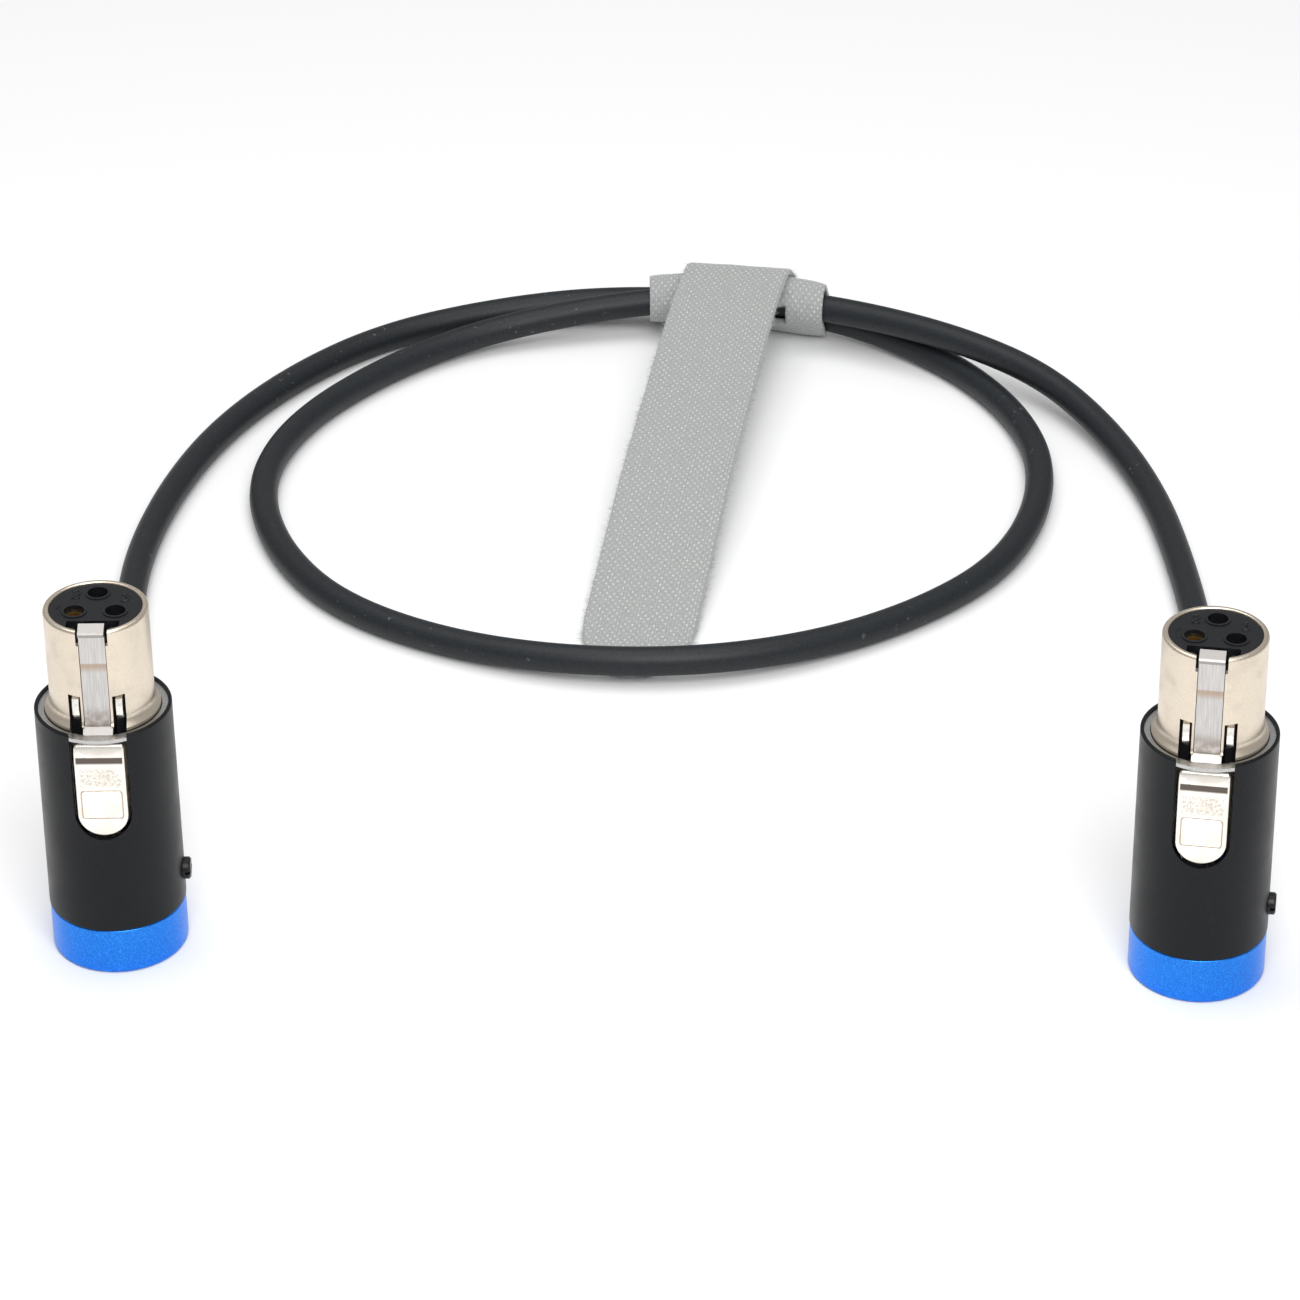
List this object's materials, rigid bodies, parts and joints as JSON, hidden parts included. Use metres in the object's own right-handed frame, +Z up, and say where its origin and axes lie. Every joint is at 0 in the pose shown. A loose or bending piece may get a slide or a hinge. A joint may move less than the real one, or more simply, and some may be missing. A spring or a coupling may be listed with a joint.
{
  "type": "xlr cable coil",
  "caption": "Short microphone cable laid in a loose loop, with a low-profile female XLR connector standing at each end and a hook-and-loop tie round the loop.",
  "frame": {"origin": "centre of the foot of the box round the two standing connectors, on the table", "axes": "+X from the left connector towards the right one, +Y from the latches towards the loop, +Z up along the connectors"},
  "size_m": [0.1908, 0.2324, 0.061],
  "materials": {
    "blue_anodised": "satin blue anodised",
    "black_anodised": "satin black anodised",
    "grey_sleeve": "satin, clear anodised",
    "satin_nickel": "satin nickel plate",
    "nickel_button": "satin nickel plate",
    "spring_steel": "brushed along its length",
    "black_insert": "moulded, satin",
    "gold_contact": "gold plated",
    "black_rubber": "matt",
    "black_screw": "black oxide",
    "black_jacket": "matt PVC",
    "tinned_copper": "stranded, tinned",
    "blue_insulation": "semi-gloss",
    "red_insulation": "semi-gloss",
    "solder": "bright",
    "grey_strap": "woven hook-and-loop tape"
  },
  "bodies": {
    "shells_and_cable": {"cable": "black_jacket", "tie_head": "grey_strap", "tie_tail": "grey_strap", "left_barrel": "black_anodised", "left_inner_sleeve": "grey_sleeve", "left_nose_shell": "satin_nickel", "left_insert": "black_insert", "left_ground_spring": "spring_steel", "left_retaining_ring": "black_insert", "left_latch_pin": "spring_steel", "left_latch_spring": "spring_steel", "left_exit_grommet": "black_rubber", "left_cable_end": "black_jacket", "left_shrink_sleeve": "black_insert", "left_drain_wire": "tinned_copper", "left_blue_core": "blue_insulation", "left_red_core": "red_insulation", "left_solder_joints": "solder", "left_contact_1": "gold_contact", "left_contact_2": "gold_contact", "left_contact_3": "gold_contact", "right_barrel": "black_anodised", "right_inner_sleeve": "grey_sleeve", "right_nose_shell": "satin_nickel", "right_insert": "black_insert", "right_ground_spring": "spring_steel", "right_retaining_ring": "black_insert", "right_latch_pin": "spring_steel", "right_latch_spring": "spring_steel", "right_exit_grommet": "black_rubber", "right_cable_end": "black_jacket", "right_shrink_sleeve": "black_insert", "right_drain_wire": "tinned_copper", "right_blue_core": "blue_insulation", "right_red_core": "red_insulation", "right_solder_joints": "solder", "right_contact_1": "gold_contact", "right_contact_2": "gold_contact", "right_contact_3": "gold_contact"},
    "left_base_cap": {"left_base_cap": "blue_anodised"},
    "left_latch": {"left_latch_tongue": "spring_steel", "left_latch_button": "nickel_button"},
    "left_clamp_pad": {"left_clamp_pad": "black_insert"},
    "left_clamp_screw": {"left_clamp_screw": "black_screw"},
    "right_base_cap": {"right_base_cap": "blue_anodised"},
    "right_latch": {"right_latch_tongue": "spring_steel", "right_latch_button": "nickel_button"},
    "right_clamp_pad": {"right_clamp_pad": "black_insert"},
    "right_clamp_screw": {"right_clamp_screw": "black_screw"}
  },
  "joints": [
    {"name": "left_latch_press", "type": "hinge", "parent": "shells_and_cable", "child": "left_latch", "pos_m": [-0.08435, -0.00355, 0.0212], "axis": [-1, 0, 0], "range_deg": [0, 2], "stiffness_Nm_per_rad": 0.8},
    {"name": "left_clamp_pad_slide", "type": "slide", "parent": "shells_and_cable", "child": "left_clamp_pad", "axis": [1, 0, 0], "range_m": [0, 0.001]},
    {"name": "left_clamp_screw_turn", "type": "hinge", "parent": "left_clamp_pad", "child": "left_clamp_screw", "pos_m": [-0.07635, 0.00445, 0.0125], "axis": [1, 0, 0], "range_deg": [0, 720]},
    {"name": "left_base_cap_turn", "type": "hinge", "parent": "shells_and_cable", "child": "left_base_cap", "pos_m": [-0.08435, 0.00445, 0.004], "axis": [0, 0, -1], "range_deg": [0, 720]},
    {"name": "right_latch_press", "type": "hinge", "parent": "shells_and_cable", "child": "right_latch", "pos_m": [0.08196, -0.01433, 0.0212], "axis": [-0.9848, 0.1736, 0], "range_deg": [0, 2], "stiffness_Nm_per_rad": 0.8},
    {"name": "right_clamp_pad_slide", "type": "slide", "parent": "shells_and_cable", "child": "right_clamp_pad", "axis": [0.9848, -0.1736, 0], "range_m": [0, 0.001]},
    {"name": "right_clamp_screw_turn", "type": "hinge", "parent": "right_clamp_pad", "child": "right_clamp_screw", "pos_m": [0.09123, -0.00784, 0.0125], "axis": [0.9848, -0.1736, 0], "range_deg": [0, 720]},
    {"name": "right_base_cap_turn", "type": "hinge", "parent": "shells_and_cable", "child": "right_base_cap", "pos_m": [0.08335, -0.00645, 0.004], "axis": [0, 0, -1], "range_deg": [0, 720]}
  ],
  "couplings": [
    {"joint": "left_clamp_screw_turn", "follows": "left_clamp_pad_slide", "rad_per_m": 12560},
    {"joint": "right_clamp_screw_turn", "follows": "right_clamp_pad_slide", "rad_per_m": 12560}
  ]
}
